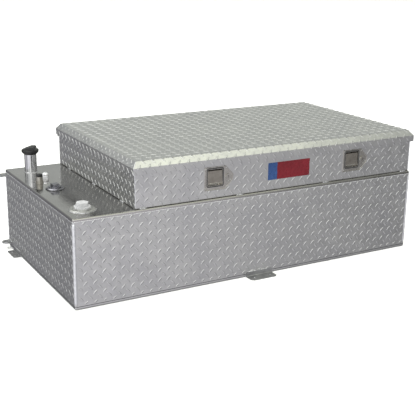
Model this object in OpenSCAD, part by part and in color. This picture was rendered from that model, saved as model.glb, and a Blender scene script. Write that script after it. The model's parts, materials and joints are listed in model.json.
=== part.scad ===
// Transfer tank with a toolbox on top, for the bed of a pickup truck.
// A folded tread plate tank carries a tread plate toolbox with a hinged lid.
// The smooth top of the tank is left bare at one end for the filler and the other fittings.
// Units are millimetres. The origin is the centre of the tank's underside: X runs along
// the tank, Y from front to rear and Z up.

/* [Sheet] */
// Thickness of the tread plate
sheet = 3; // [2.5:0.1:3.5]
// Outer radius of the folds in the tank
bend_r = 6; // [5:0.5:8]
// Gap left between plates that are welded edge to edge
weld_gap = 0.2; // [0.1:0.05:0.3]

/* [Tank] */
// Length of the tank
tank_l = 1524; // [1400:1:1700]
// Depth of the tank, front to rear
tank_w = 787; // [700:1:850]
// Height of the tank
tank_h = 340; // [300:1:400]
// Height of the turned-down edge of the top and of the turned-up edge of the bottom
pan_lip = 12; // [8.5:0.5:14]
// Distance of each baffle from the middle of the tank
baffle_x = 254; // [200:1:320]
// Cut-off at each baffle corner, where the fuel passes
baffle_notch = 45; // [25:1:60]
// Diameter of the holes in a baffle
baffle_hole_d = 70; // [40:1:90]

/* [Toolbox] */
// Width of the bare tank top beside the toolbox
shelf_w = 240; // [220:1:300]
// Set-back of the toolbox from the front, rear and right faces of the tank
box_inset = 6; // [6:0.5:9]
// Height of the toolbox wall above the tank
box_h = 160; // [150:1:190]
// Width of the flange turned inward along the top of the toolbox wall
flange_w = 22; // [20:0.5:28]
// Width of the flange turned inward along the foot of the toolbox wall
foot_flange_w = 18; // [12:0.5:22]

/* [Lid] */
// Clear gap between the toolbox wall and the lip of the lid
lid_gap = 7; // [6.7:0.1:9]
// Height of the upright lip of the lid
lip_h = 25; // [20:0.5:30]
// Height from the lip up to the top of the lid
bevel_h = 21; // [16:0.5:24]
// Width of the bevel, seen from above
bevel_w = 17; // [14:0.5:22]
// Height of the flat top of the lid above the top of the toolbox wall
lid_rise = 15; // [14:0.5:18]
// Width of the hem turned in under the lip
hem_w = 5; // [3:0.5:5.5]
// Height of a rib
rib_h = 18; // [12:1:24]
// Height of the rubber seal when the lid rests on it
seal_h = 11.7; // [10:0.1:12]
// Width of the rubber seal
seal_w = 12; // [8:0.5:13]

/* [Hinge] */
// Diameter of the hinge pin
pin_d = 6; // [5:0.5:6.5]
// Diameter of a hinge knuckle
knuckle_d = 12; // [11:0.5:13]
// Number of knuckles along the hinge
knuckle_n = 25; // [15:2:35]
// Height of the leaf on the toolbox
leaf_h = 38; // [30:1:50]
// Thickness of the hinge leaves
leaf_t = 1.6; // [1.2:0.1:2]
// Running clearance round every pin, on the radius
run_clear = 0.05; // [0.03:0.01:0.08]

/* [Latches] */
// Distance from the middle of the pair to each latch, as a share of the toolbox's length
latch_share = 0.251; // [0.22:0.001:0.28]
// Offset of the pair from the middle of the toolbox
latch_shift = 26; // [-20:1:40]
// Height of the latch centre above the tank
latch_z = 78; // [70:1:80]
// Width of the latch plate with its pointed end
plate_w = 124; // [120:1:132]
// Height of the latch plate
plate_h = 90; // [86:1:96]
// Thickness of the stamped latch plate
plate_t = 1.5; // [1.2:0.1:2]
// Width and height of the square recess
recess = 66; // [60:1:68]
// Depth of the recess behind the toolbox wall
recess_deep = 15; // [14:0.5:17]
// Diameter of the lock cylinder
lock_d = 19; // [16:0.5:22]

/* [Gas struts] */
// Diameter of the strut tube
tube_d = 15; // [12:0.5:18]
// Diameter of the strut rod
rod_d = 6; // [5:0.5:8]

/* [Fittings] */
// Diameter of the filler neck
neck_d = 50.8; // [45:0.1:60]
// Height of the filler neck above the tank
neck_h = 76; // [70:0.5:110]
// Wall of the filler neck
neck_t = 3; // [2.5:0.1:4]
// Diameter of the filler cap
cap_d = 70; // [64:1:80]
// Height of the filler cap without its grip bar
cap_h = 22; // [20:1:30]
// Diameter of the welded pump flange
pump_d = 98; // [90:1:110]
// Diameter of the gauge bung
gauge_d = 70; // [62:1:80]

/* [Feet] */
// Length of the front foot
foot_l = 118; // [100:1:140]
// Length of the foot at each end
end_foot_l = 90; // [80:1:110]
// Distance that the front foot stands out
foot_out = 47; // [40:1:60]
// Distance that a foot at the end stands out
end_foot_out = 30; // [28:1:45]
// Height of a foot against the tank
foot_h = 20; // [18:1:40]
// Diameter of the bolt holes in the feet
bolt_d = 11; // [8:0.5:13]
// Thickness of a lug
lug_t = 6; // [5:0.5:8]
// Diameter of the eye in a lug
eye_d = 14; // [10:0.5:16]

/* [Hidden] */
$fn = 96;
tiny = 0.01;
mate = 0.3;

// Tank planes
tank_x = tank_l / 2;
tank_y = tank_w / 2;
top_z = tank_h;

// Toolbox planes, all at the outer face of the wall
box_x0 = -tank_x + shelf_w;
box_x1 = tank_x - box_inset;
box_y = tank_y - box_inset;
box_l = box_x1 - box_x0;
box_mid = (box_x0 + box_x1) / 2;
box_top = top_z + box_h;
fold_r = sheet + 2;

// Lid planes
lid_x0 = box_x0 - lid_gap - sheet;
lid_x1 = box_x1 + lid_gap + sheet;
lid_y = box_y + lid_gap + sheet;
lid_top = box_top + lid_rise;
lip_top = lid_top - bevel_h;
lip_z = lip_top - lip_h;
bevel_a = atan(bevel_h / bevel_w);
under_z = lid_top - sheet;

// Hinge axis
hinge_y = box_y + knuckle_d / 2 + 0.5;
hinge_z = lip_z - 0.5 - knuckle_d / 2;
knuckle_l = box_l / knuckle_n;
knuckle_gap = 0.6;

// Latch: the plate spans from plate_x0 to plate_x1 about each centre
latch_pitch = latch_share * box_l;
latch_xs = [box_mid + latch_shift - latch_pitch, box_mid + latch_shift + latch_pitch];
latch_mid = top_z + latch_z;
plate_x0 = -plate_w / 2;
plate_x1 = plate_w / 2;
plate_point = 33;
plate_tip = 0.2;
recess_x = plate_x0 + 12 + recess / 2;
recess_z0 = latch_mid - recess / 2 + 4;
recess_z1 = recess_z0 + recess;
lock_x = plate_x1 - 24;
lock_z = latch_mid + 2;
lock_rim = 2;
front_y = -box_y;
back_y = front_y + recess_deep;

// Paddle pin and pawl pin
paddle_pin_d = 4;
paddle_pin_y = back_y - plate_t - 4.5;
paddle_pin_z = recess_z1 - plate_t - 7;
paddle_t = 2;
paddle_swing = 36;
pawl_ratio = 0.5;
tab_l = 10;
tail_l = tab_l / pawl_ratio;
pawl_pin_d = 5;
pawl_pin_y = paddle_pin_y + tab_l + tail_l;
pawl_pin_z = paddle_pin_z - 2.3;
pawl_w = 20;
ear_t = 2.5;
nose_z = box_top - sheet - 18;

// Strut anchors, closed, in the YZ plane
stud_box = [tank_y - 173, top_z + 20];
stud_lid = [hinge_y - 78, box_top - 12];
strut_in = flange_w + 16;
strut_len = norm(stud_lid - stud_box);
strut_a = atan2(stud_lid[1] - stud_box[1], stud_lid[0] - stud_box[0]);
stud_d = 8;
tube_start = 12;
tube_end = 130;

// Fittings, as [x, y] on the bare tank top
fill_at = [-tank_x + 83, tank_y - 91];
vent_at = [-tank_x + 58, tank_y - 273];
breather_at = [-tank_x + 102, tank_y - 216];
gauge_at = [-tank_x + 82, tank_y - 385];
pump_at = [-tank_x + 74, tank_y - 692];
neck_in = neck_d / 2 - neck_t;
neck_below = 12;

// Feet and lugs
foot_x = 9;
foot_cut = 9;
end_foot_cut = 4;
end_foot_y = tank_y - 117;
foot_r = sheet + 2;
foot_pitch = 70;
end_foot_pitch = 50;
lug_w = 40;
lug_y = tank_y - bend_r - lug_w / 2;
lug_out = 48;
lug_low_out = 37;
lug_low_z = 25;
lug_gap = 3;
eye_in = 16;

// Outline helpers
module round_rect(l, w, r) {
  square([l - 2 * r, w], center = true);
  square([l, w - 2 * r], center = true);
  for (sx = [-1, 1])
    for (sy = [-1, 1])
      translate([sx * (l / 2 - r), sy * (w / 2 - r)])
        circle(r);
}

// A quarter ring from +X to +Y
module quarter_ring(r_out, r_in) {
  intersection() {
    difference() {
      circle(r_out);
      circle(r_in);
    }
    square(r_out + 1);
  }
}

// Sweeps a rim profile round a rectangle with round corners.
// The profile's X is the distance from the corner's centre and its Y becomes Z.
module rim(l, w, r) {
  for (s = [-1, 1]) {
    translate([s * (l / 2 - r), s * (w / 2 - r), 0])
      rotate([0, 0, s > 0 ? 0 : 180])
        rotate_extrude(angle = 90)
          children();
    translate([-s * (l / 2 - r), s * (w / 2 - r), 0])
      rotate([0, 0, s > 0 ? 90 : 270])
        rotate_extrude(angle = 90)
          children();
    translate([s * (l / 2 - r), 0, 0])
      rotate([90, 0, s > 0 ? 0 : 180])
        translate([0, 0, -(w / 2 - r)])
          linear_extrude(w - 2 * r)
            children();
    translate([0, s * (w / 2 - r), 0])
      rotate([90, 0, s > 0 ? 90 : 270])
        translate([0, 0, -(l / 2 - r)])
          linear_extrude(l - 2 * r)
            children();
  }
}

// A pan: a flat plate whose four edges turn down by lip, with the plate's top at z = 0
module pan(l, w, r, t, lip) {
  translate([0, 0, -t])
    linear_extrude(t)
      square([l - 2 * r, w - 2 * r], center = true);
  rim(l, w, r) {
    translate([0, -r])
      quarter_ring(r, r - t);
    translate([r - t, -lip])
      square([t, lip - r]);
  }
}

// Draws its children as an extrusion along X from x0 to x1; the 2D X is Y and the 2D Y is Z
module along_x(x0, x1) {
  translate([x0, 0, 0])
    rotate([90, 0, 90])
      linear_extrude(x1 - x0)
        children();
}

// The same along Y from y0 to y1; the 2D X is X and the 2D Y is Z
module along_y(y0, y1) {
  translate([0, y1, 0])
    rotate([90, 0, 0])
      linear_extrude(y1 - y0)
        children();
}

// A cylinder along X, centred on x
module rod_x(d, x0, x1, y, z) {
  translate([x0, y, z])
    rotate([0, 90, 0])
      cylinder(d = d, h = x1 - x0);
}

// A cylinder along Y from y0 to y1
module rod_y(d, y0, y1, x, z) {
  translate([x, y1, z])
    rotate([90, 0, 0])
      cylinder(d = d, h = y1 - y0);
}

// Tank
module tank_wall() {
  color("silver")
    translate([0, 0, pan_lip + weld_gap])
      linear_extrude(tank_h - 2 * pan_lip - 2 * weld_gap)
        difference() {
          round_rect(tank_l, tank_w, bend_r);
          round_rect(tank_l - 2 * sheet, tank_w - 2 * sheet, bend_r - sheet);
        }
}

module tank_top() {
  color("gray")
    difference() {
      translate([0, 0, top_z])
        pan(tank_l, tank_w, bend_r, sheet, pan_lip);
      for (f = [
        [fill_at, neck_d], [vent_at, vent_stem_d], [breather_at, breather_stem_d],
        [gauge_at, gauge_d - 20], [pump_at, pump_d - 34]
      ])
        translate([f[0][0], f[0][1], top_z - 2 * sheet])
          cylinder(d = f[1] + 2 * weld_gap, h = 3 * sheet);
    }
}

module tank_bottom() {
  color("silver")
    mirror([0, 0, 1])
      pan(tank_l, tank_w, bend_r, sheet, pan_lip);
}

// Baffle: an upright plate with cut-off corners and a row of holes
module baffle(side) {
  inner_w = tank_w - 2 * sheet - 2 * weld_gap;
  inner_h = tank_h - 2 * sheet - 2 * weld_gap;
  hole_pitch = inner_w / 4;
  color("darkgray")
    translate([side * baffle_x, 0, tank_h / 2])
      rotate([90, 0, 90])
        linear_extrude(sheet, center = true)
          difference() {
            square([inner_w, inner_h], center = true);
            for (sx = [-1, 1])
              for (sy = [-1, 1])
                translate([sx * inner_w / 2, sy * inner_h / 2])
                  rotate(45)
                    square(baffle_notch * sqrt(2), center = true);
            for (k = [-1:1])
              translate([k * hole_pitch, 0])
                circle(d = baffle_hole_d);
          }
}

// Toolbox walls
// Section of a wall seen along its length: outer face at x = 0, turned inward, towards +X, into
// a flange at the top and into another one that lies on the tank
module wall_section() {
  translate([0, fold_r])
    square([sheet, box_h - 2 * fold_r]);
  translate([fold_r, box_h - fold_r])
    rotate(90)
      quarter_ring(fold_r, fold_r - sheet);
  translate([fold_r, box_h - sheet])
    square([flange_w - fold_r, sheet]);
  translate([fold_r, fold_r])
    rotate(180)
      quarter_ring(fold_r, fold_r - sheet);
  translate([fold_r, 0])
    square([foot_flange_w - fold_r, sheet]);
}

module box_front() {
  color("silver")
    difference() {
      translate([0, 0, top_z])
        along_x(box_x0, box_x1)
          translate([-box_y, 0])
            wall_section();
      for (cx = latch_xs) {
        translate([cx + recess_x, front_y, (recess_z0 + recess_z1) / 2])
          cube([recess + 2 * mate, 4 * sheet, recess + 2 * mate], center = true);
        rod_y(lock_d + 2 * lock_rim, front_y - sheet, front_y + 2 * sheet, cx + lock_x, lock_z);
      }
    }
}

module box_rear() {
  color("silver")
    translate([0, 0, top_z])
      along_x(box_x0, box_x1)
        translate([box_y, 0])
          mirror([1, 0])
            wall_section();
}

// The end walls fit between the front and rear walls, and their flanges stop at those flanges
module corner_cut(s, end_y, z, w) {
  translate([0, s * end_y, z])
    cube([4 * w, 2 * (w - sheet), 2 * (sheet + weld_gap)], center = true);
  rod_x(2 * fold_r, -fold_r, fold_r, s * end_y, z);
}

module end_wall() {
  end_y = box_y - sheet - weld_gap;
  translate([0, 0, top_z])
    difference() {
      along_y(-end_y, end_y)
        wall_section();
      for (s = [-1, 1]) {
        corner_cut(s, end_y, box_h, flange_w);
        corner_cut(s, end_y, 0, foot_flange_w);
      }
    }
}

module box_end_left() {
  color("silver")
    translate([box_x0, 0, 0])
      end_wall();
}

module box_end_right() {
  color("silver")
    translate([box_x1, 0, 0])
      mirror([1, 0, 0])
        end_wall();
}

// Short weld beads along the foot of the toolbox walls
weld_leg = 5;
weld_belly = 0.62;
stitch_l = 30;
stitch_n = 4;
stitch_spread = 0.7;
function stitch_x(i) = box_x0 + stitch_l + (box_l - 2 * stitch_l) * i / (stitch_n - 1);

weld_up = fold_r + 2;
module stitch_section() {
  difference() {
    polygon([
      [-fold_r, 0], [weld_leg, 0], [weld_leg * weld_belly, weld_leg * weld_belly], [0, weld_up],
      [0, fold_r], [-fold_r, fold_r]
    ]);
    translate([-fold_r, fold_r])
      circle(fold_r + tiny);
  }
}

module seam_welds() {
  color("lightgray") {
    for (i = [0:stitch_n - 1])
      for (s = [-1, 1])
        translate([0, 0, top_z])
          along_x(stitch_x(i) - stitch_l / 2, stitch_x(i) + stitch_l / 2)
            difference() {
              mirror([s > 0 ? 0 : 1, 0])
                translate([box_y, 0])
                  stitch_section();
              translate([s * (tank_y - bend_r), -bend_r])
                circle(r = bend_r + tiny);
            }
    for (k = [-1, 0, 1])
      translate([0, 0, top_z])
        along_y(k * box_y * stitch_spread - stitch_l / 2, k * box_y * stitch_spread + stitch_l / 2)
          translate([box_x0, 0])
            mirror([1, 0])
              stitch_section();
  }
}

// Lid
// How far the inner corner of lip and bevel lies below the outer one, for a sheet of thickness t
function inset_fall(t) = t * (1 / cos(bevel_a) - tan(bevel_a));
// How far the inner corner of bevel and top lies inside the outer one
function inset_run(t) = t * (1 / sin(bevel_a) - 1 / tan(bevel_a));
// Outline of the lid's cross-section at an inset from its outer faces, from z_low upwards
function lid_outline(half, inset, z_low) =
  let(
    side = half - inset,
    low = [side, lip_top - inset_fall(inset)],
    up = [half - bevel_w - inset_run(inset), lid_top - inset]
  )
  [[-side, z_low], [side, z_low], low, up, [-up[0], up[1]], [-low[0], low[1]]];

module lid_block(inset, z_low) {
  half_l = (lid_x1 - lid_x0) / 2;
  intersection() {
    along_x(lid_x0 - 1, lid_x1 + 1)
      polygon(lid_outline(lid_y, inset, z_low));
    translate([(lid_x0 + lid_x1) / 2, 0, 0])
      along_y(-lid_y - 1, lid_y + 1)
        polygon(lid_outline(half_l, inset, z_low));
  }
}

module lid_pan() {
  lid_l = lid_x1 - lid_x0;
  color("gainsboro")
    difference() {
      lid_block(0, lip_z);
      lid_block(sheet, lip_z + sheet);
      translate([(lid_x0 + lid_x1) / 2, 0, lip_z + sheet / 2])
        cube([lid_l - 2 * (sheet + hem_w), 2 * (lid_y - sheet - hem_w), 2 * sheet], center = true);
      translate([lid_x0 + sheet, lid_y - sheet - hem_w - 1, lip_z - 1])
        cube([lid_l - 2 * sheet, hem_w + 1, sheet + 2]);
    }
}

// Hat-section rib under the lid, one in the middle of each third; i is -1, 0 or 1
rib_n = 3;
rib_pitch = box_l / rib_n;
rib_w = 44;
rib_foot = 16;
rib_t = 2;
rib_reach = 70;
module lid_rib(i) {
  color("darkgray")
    translate([box_mid + i * rib_pitch, 0, under_z])
      along_y(-(box_y - rib_reach), box_y - rib_reach)
        difference() {
          union() {
            translate([-rib_w / 2, -rib_h])
              square([rib_w, rib_h]);
            translate([-rib_w / 2 - rib_foot, -rib_t])
              square([rib_w + 2 * rib_foot, rib_t]);
          }
          translate([-rib_w / 2 + rib_t, rib_t - rib_h])
            square([rib_w - 2 * rib_t, rib_h]);
        }
}

// Hollow rubber seal that stands on the top flange
module lid_seal() {
  seal_in = fold_r + 2;
  seal_r = seal_w / 2 + 8;
  seal_foot = 3;
  seal_wall = 2;
  bulb_d = seal_h - 1;
  bulb_z = seal_h - bulb_d / 2;
  color("black")
    translate([box_mid, 0, box_top])
      rim(box_l - 2 * seal_in, 2 * (box_y - seal_in), seal_r)
        translate([seal_r - seal_w, 0])
          difference() {
            union() {
              square([seal_w, seal_foot]);
              translate([seal_w / 2, bulb_z])
                circle(d = bulb_d);
            }
            translate([seal_w / 2, bulb_z])
              circle(d = bulb_d - 2 * seal_wall);
          }
}

// Hinge
module knuckles(first) {
  for (k = [first:2:knuckle_n - 1])
    rod_x(knuckle_d, box_x0 + k * knuckle_l + knuckle_gap / 2,
      box_x0 + (k + 1) * knuckle_l - knuckle_gap / 2, hinge_y, hinge_z);
}

module pin_bore() {
  rod_x(pin_d + 2 * run_clear, box_x0 - 1, box_x1 + 1, hinge_y, hinge_z);
}

// A leaf with teeth: the plate, between z_plate and z_far, stays clear of the other leaf's knuckles
// and each tooth joins it to a knuckle at z_tooth
module leaf(first, y0, z_plate, z_far, z_tooth) {
  translate([box_x0, y0, min(z_plate, z_far)])
    cube([box_l, leaf_t, abs(z_far - z_plate)]);
  for (k = [first:2:knuckle_n - 1])
    translate([box_x0 + k * knuckle_l + knuckle_gap / 2, y0, min(z_plate, z_tooth) - tiny])
      cube([knuckle_l - knuckle_gap, leaf_t, abs(z_tooth - z_plate) + 2 * tiny]);
}

module hinge_leaf_box() {
  color("gray")
    difference() {
      union() {
        leaf(0, box_y, hinge_z - knuckle_d / 2 - 1, hinge_z - leaf_h, hinge_z);
        knuckles(0);
      }
      pin_bore();
    }
}

leaf_stop = 4;
module hinge_leaf_lid() {
  color("gray")
    difference() {
      union() {
        leaf(1, lid_y - sheet - leaf_t, hinge_z + knuckle_d / 2 + 1, lip_top - leaf_stop,
          hinge_z + pin_d / 2 + 1);
        knuckles(1);
      }
      pin_bore();
    }
}

// The pin has a peened head just outside each end of the knuckles
module hinge_pin() {
  head_d = knuckle_d - 2;
  head_t = 3;
  color("dimgray") {
    rod_x(pin_d, box_x0 - mate - head_t, box_x1 + mate + head_t, hinge_y, hinge_z);
    rod_x(head_d, box_x0 - mate - head_t, box_x0 - mate, hinge_y, hinge_z);
    rod_x(head_d, box_x1 + mate, box_x1 + mate + head_t, hinge_y, hinge_z);
  }
}

// Gas struts. Each is drawn for the left end, with x_wall the inner face of the end wall.
module at_end(side) {
  if (side < 0)
    translate([box_x0 + sheet, 0, 0])
      children();
  else
    translate([box_x1 - sheet, 0, 0])
      mirror([1, 0, 0])
        children();
}

// Stud on the end wall: a round foot, a thick shank and a thin one through the tube's eye
strut_eye_w = 10;
strut_eye_d = 16;
stud_foot_d = 26;
stud_foot_t = 3;
stud_shank_d = 14;
module strut_stud_box(side) {
  color("silver")
    at_end(side) {
      rod_x(stud_foot_d, 0, stud_foot_t, stud_box[0], stud_box[1]);
      rod_x(stud_shank_d, stud_foot_t - tiny, strut_in - strut_eye_w / 2 - mate, stud_box[0], stud_box[1]);
      rod_x(stud_d, stud_foot_t, strut_in + strut_eye_w / 2 + 1, stud_box[0], stud_box[1]);
    }
}

// Angle bracket under the lid, with a short stud that stops beside the rod's eye
lid_angle_t = 3;
lid_angle_w = 32;
lid_angle_foot = 22;
lid_angle_below = 10;
module strut_stud_lid(side) {
  angle_x = strut_in + strut_eye_w / 2 + 4;
  color("silver")
    at_end(side) {
      translate([angle_x, stud_lid[0] - lid_angle_w / 2, stud_lid[1] - lid_angle_below])
        cube([lid_angle_t, lid_angle_w, under_z - stud_lid[1] + lid_angle_below]);
      translate([angle_x, stud_lid[0] - lid_angle_w / 2, under_z - lid_angle_t])
        cube([lid_angle_foot, lid_angle_w, lid_angle_t]);
      rod_x(stud_d, strut_in + strut_eye_w / 2 + mate, angle_x + tiny, stud_lid[0], stud_lid[1]);
    }
}

// The tube turns on its stud; its eye, neck and barrel lie along the strut's line
module along_strut(side) {
  at_end(side)
    translate([strut_in, stud_box[0], stud_box[1]])
      rotate([strut_a, 0, 0])
        children();
}

module strut_tube(side) {
  color("black")
    along_strut(side)
      difference() {
        union() {
          rotate([0, 90, 0])
            cylinder(d = strut_eye_d, h = strut_eye_w, center = true);
          rotate([-90, 0, 0])
            cylinder(d = stud_d, h = tube_start + 1);
          translate([0, tube_start, 0])
            rotate([-90, 0, 0])
              cylinder(d = tube_d, h = tube_end - tube_start);
        }
        rotate([0, 90, 0])
          cylinder(d = stud_d + 2 * run_clear, h = 2 * strut_eye_w, center = true);
        translate([0, 2 * tube_start, 0])
          rotate([-90, 0, 0])
            cylinder(d = rod_d + 2 * run_clear, h = tube_end);
      }
}

module strut_rod(side) {
  rod_in = 2 * tube_start + 6;
  color("silver")
    along_strut(side) {
      translate([0, rod_in, 0])
        rotate([-90, 0, 0])
          cylinder(d = rod_d, h = strut_len - rod_in);
      translate([0, strut_len, 0])
        rotate([0, 90, 0])
          cylinder(d = strut_eye_d, h = strut_eye_w, center = true);
    }
}

// Latches
module at_latch(side) {
  translate([latch_xs[side < 0 ? 0 : 1], 0, 0])
    children();
}

// Outline of the plate: square on the left, pointed on the right
module plate_outline() {
  h = plate_h / 2;
  polygon([
    [plate_x0, -h], [plate_x1 - plate_point, -h], [plate_x1, -h * plate_tip],
    [plate_x1, h * plate_tip], [plate_x1 - plate_point, h], [plate_x0, h]
  ]);
}

// Stamped plate with the square recess drawn into it
module latch_plate(side) {
  rc = (recess_z0 + recess_z1) / 2;
  color("lightgray")
    at_latch(side)
      difference() {
        union() {
          translate([0, front_y, latch_mid])
            rotate([90, 0, 0])
              linear_extrude(plate_t)
                plate_outline();
          translate([recess_x - recess / 2, front_y - plate_t, recess_z0])
            cube([recess, recess_deep + plate_t, recess]);
          rod_y(lock_d + 2 * lock_rim - 2 * mate, front_y - plate_t, front_y + sheet, lock_x, lock_z);
        }
        translate([recess_x, (front_y + back_y - plate_t) / 2 - 5, rc])
          cube([recess - 2 * plate_t, recess_deep - plate_t + 10, recess - 2 * plate_t], center = true);
        rod_y(lock_d + 2 * run_clear, front_y - 3 * plate_t, front_y + 2 * sheet, lock_x, lock_z);
        rod_x(paddle_pin_d, recess_x - recess / 2 - 1, recess_x + recess / 2 + 1,
          paddle_pin_y, paddle_pin_z);
        translate([recess_x, back_y, paddle_pin_z])
          cube([pawl_w + 4, 4 * plate_t, 15], center = true);
      }
}

module paddle_pin(side) {
  color("dimgray")
    at_latch(side)
      rod_x(paddle_pin_d, recess_x - recess / 2, recess_x + recess / 2, paddle_pin_y, paddle_pin_z);
}

// Paddle: a plate that covers the recess, a hinge barrel behind its top edge and a tab behind that
module latch_paddle(side) {
  w = recess - 2 * plate_t - 3;
  face_y = front_y - 0.5;
  plate_top = paddle_pin_z + 1;
  plate_low = recess_z0 + plate_t + 8;
  barrel_d = paddle_pin_d + 3;
  rise = tab_l * sin(paddle_swing / 2);
  reach = tab_l * cos(paddle_swing / 2);
  color("silver")
    at_latch(side)
      difference() {
        union() {
          along_x(recess_x - w / 2, recess_x + w / 2)
            polygon([
              [face_y, plate_low], [face_y + paddle_t, plate_low], [face_y + paddle_t, plate_top - 6],
              [paddle_pin_y, plate_top - 4.5], [paddle_pin_y, plate_top + 1.5],
              [face_y + 1, plate_top]
            ]);
          rod_x(barrel_d, recess_x - w / 2, recess_x + w / 2, paddle_pin_y, paddle_pin_z);
          along_x(recess_x - pawl_w / 2 + 1, recess_x + pawl_w / 2 - 1)
            polygon([
              [paddle_pin_y, paddle_pin_z - 1], [paddle_pin_y, paddle_pin_z + 3],
              [paddle_pin_y + reach + 1, paddle_pin_z + rise + 1.2],
              [paddle_pin_y + reach + 1, paddle_pin_z + rise - 1]
            ]);
        }
        rod_x(paddle_pin_d + 2 * run_clear, recess_x - w / 2 - 1, recess_x + w / 2 + 1,
          paddle_pin_y, paddle_pin_z);
      }
}

// Two ears behind the recess carry the pawl's pin
module latch_bracket(side) {
  color("gray")
    at_latch(side)
      difference() {
        union() {
          for (s = [-1, 1])
            translate([recess_x + s * (pawl_w / 2 + 1 + ear_t / 2), 0, 0])
              along_x(-ear_t / 2, ear_t / 2)
                polygon([
                  [back_y, pawl_pin_z - 18], [pawl_pin_y + 6, pawl_pin_z - 8],
                  [pawl_pin_y + 6, pawl_pin_z + 6], [back_y, pawl_pin_z + 8]
                ]);
          translate([recess_x - pawl_w / 2 - 1 - ear_t, back_y, pawl_pin_z - 30])
            cube([pawl_w + 2 + 2 * ear_t, 2, 18]);
        }
        rod_x(pawl_pin_d, recess_x - pawl_w, recess_x + pawl_w, pawl_pin_y, pawl_pin_z);
      }
}

module pawl_pin(side) {
  half = pawl_w / 2 + 1 + ear_t;
  color("dimgray")
    at_latch(side)
      rod_x(pawl_pin_d, recess_x - half, recess_x + half, pawl_pin_y, pawl_pin_z);
}

// Pawl: a hook above its pin and a tail that the paddle's tab presses down
nose_l = 12;
module latch_pawl(side) {
  tip_a = paddle_swing * pawl_ratio / 2;
  tail_y = pawl_pin_y - tail_l * cos(tip_a);
  tail_z = pawl_pin_z + tail_l * sin(tip_a);
  color("gray")
    at_latch(side)
      difference() {
        union() {
          along_x(recess_x - pawl_w / 2, recess_x + pawl_w / 2) {
            polygon([
              [pawl_pin_y - 4, pawl_pin_z], [pawl_pin_y + 4, pawl_pin_z],
              [pawl_pin_y + 3, nose_z], [pawl_pin_y + 3 + nose_l, nose_z + 1],
              [pawl_pin_y + 3 + nose_l, nose_z + 4], [pawl_pin_y + 4, nose_z + 9],
              [pawl_pin_y - 3, nose_z + 9]
            ]);
            polygon([
              [tail_y - 1.5, tail_z - 1], [tail_y + 2, tail_z - 4.5],
              [pawl_pin_y, pawl_pin_z - 5], [pawl_pin_y, pawl_pin_z + 4],
              [tail_y, tail_z - 0.2]
            ]);
          }
          rod_x(pawl_pin_d + 7, recess_x - pawl_w / 2, recess_x + pawl_w / 2, pawl_pin_y, pawl_pin_z);
        }
        rod_x(pawl_pin_d + 2 * run_clear, recess_x - pawl_w, recess_x + pawl_w, pawl_pin_y, pawl_pin_z);
      }
}

// Lock cylinder: a round plug in the plate and a cam at its rear end, hanging down when open
module latch_lock(side) {
  cam_l = 24;
  cam_y = front_y + sheet + 16;
  color("silver")
    at_latch(side)
      difference() {
        union() {
          rod_y(lock_d, front_y - plate_t - 1.5, cam_y, lock_x, lock_z);
          rod_y(lock_d + 3, front_y - plate_t - 3, front_y - plate_t - 0.4, lock_x, lock_z);
          translate([lock_x - 5, cam_y - tiny, lock_z - cam_l])
            cube([10, 3, cam_l + 6]);
        }
        translate([lock_x, front_y - plate_t - 3, lock_z])
          cube([2, 6, 9], center = true);
      }
}

// Striker: an angle under the lid, with a ledge that the pawl's nose reaches for
ledge_w = 10.5;
nose_clear = 0.6;
module striker(side) {
  web_y = pawl_pin_y + 3 + nose_l + nose_clear + ledge_w;
  ledge_z = nose_z - 3.5;
  w = pawl_w + 16;
  color("gray")
    at_latch(side)
      along_x(recess_x - w / 2, recess_x + w / 2)
        union() {
          translate([web_y - ledge_w, ledge_z])
            square([ledge_w + 3, 3]);
          translate([web_y, ledge_z])
            square([3, under_z - ledge_z]);
          translate([web_y, under_z - 3])
            square([24, 3]);
        }
}

// Fittings
module filler_neck() {
  color("silver")
    translate([fill_at[0], fill_at[1], top_z - neck_below])
      difference() {
        cylinder(d = neck_d, h = neck_below + neck_h);
        translate([0, 0, -1])
          cylinder(r = neck_in, h = neck_below + neck_h + 2);
      }
}

// Inner half of the cap: a plug in the neck, a rim on the neck's top and a stem that the outer half turns on
plug_deep = 14;
rim_t = 2;
stem_d = 16;
stem_h = 14;
module filler_plug() {
  color("dimgray")
    translate([fill_at[0], fill_at[1], top_z + neck_h]) {
      translate([0, 0, -plug_deep])
        cylinder(r = neck_in - mate, h = plug_deep + tiny);
      cylinder(d = neck_d, h = rim_t);
      cylinder(d = stem_d, h = rim_t + stem_h);
    }
}

// Outer half of the cap: a round knob that widens upwards, with an off-centre grip ridge over its top
grip_turn = -30;
grip_l = cap_d - 16;
grip_out = [[-25, -3], [-3, 5], [2, 7], [17, 7], [20, 4], [22, -3]];
module filler_cap() {
  cap_r = cap_d / 2;
  color([0.12, 0.12, 0.13])
    translate([fill_at[0], fill_at[1], top_z + neck_h + rim_t + mate])
      difference() {
        union() {
          rotate_extrude()
            polygon([
              [0, 0], [cap_r - 7, 0], [cap_r - 3, cap_h * 0.2], [cap_r, cap_h * 0.36], [cap_r, cap_h * 0.7],
              [cap_r - 3, cap_h * 0.84], [cap_r - 13, cap_h * 0.96], [cap_r - 20, cap_h], [0, cap_h]
            ]);
          rotate([90, 0, grip_turn])
            translate([0, cap_h, 0])
              linear_extrude(grip_l, center = true)
                polygon(grip_out);
        }
        translate([0, 0, -1])
          cylinder(d = stem_d + 2 * run_clear, h = stem_h + 1.5);
      }
}

// Vent with a round base and a wider cap
vent_d = 26;
vent_h = 25;
vent_cap_d = 24;
vent_cap_h = 11;
vent_stem_d = 14;
module vent_body() {
  color("silver")
    translate([vent_at[0], vent_at[1], top_z]) {
      cylinder(d = vent_d + 5, h = 4);
      cylinder(d = vent_d, h = vent_h);
      translate([0, 0, -neck_below])
        cylinder(d = vent_stem_d, h = neck_below + 1);
    }
}

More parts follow.
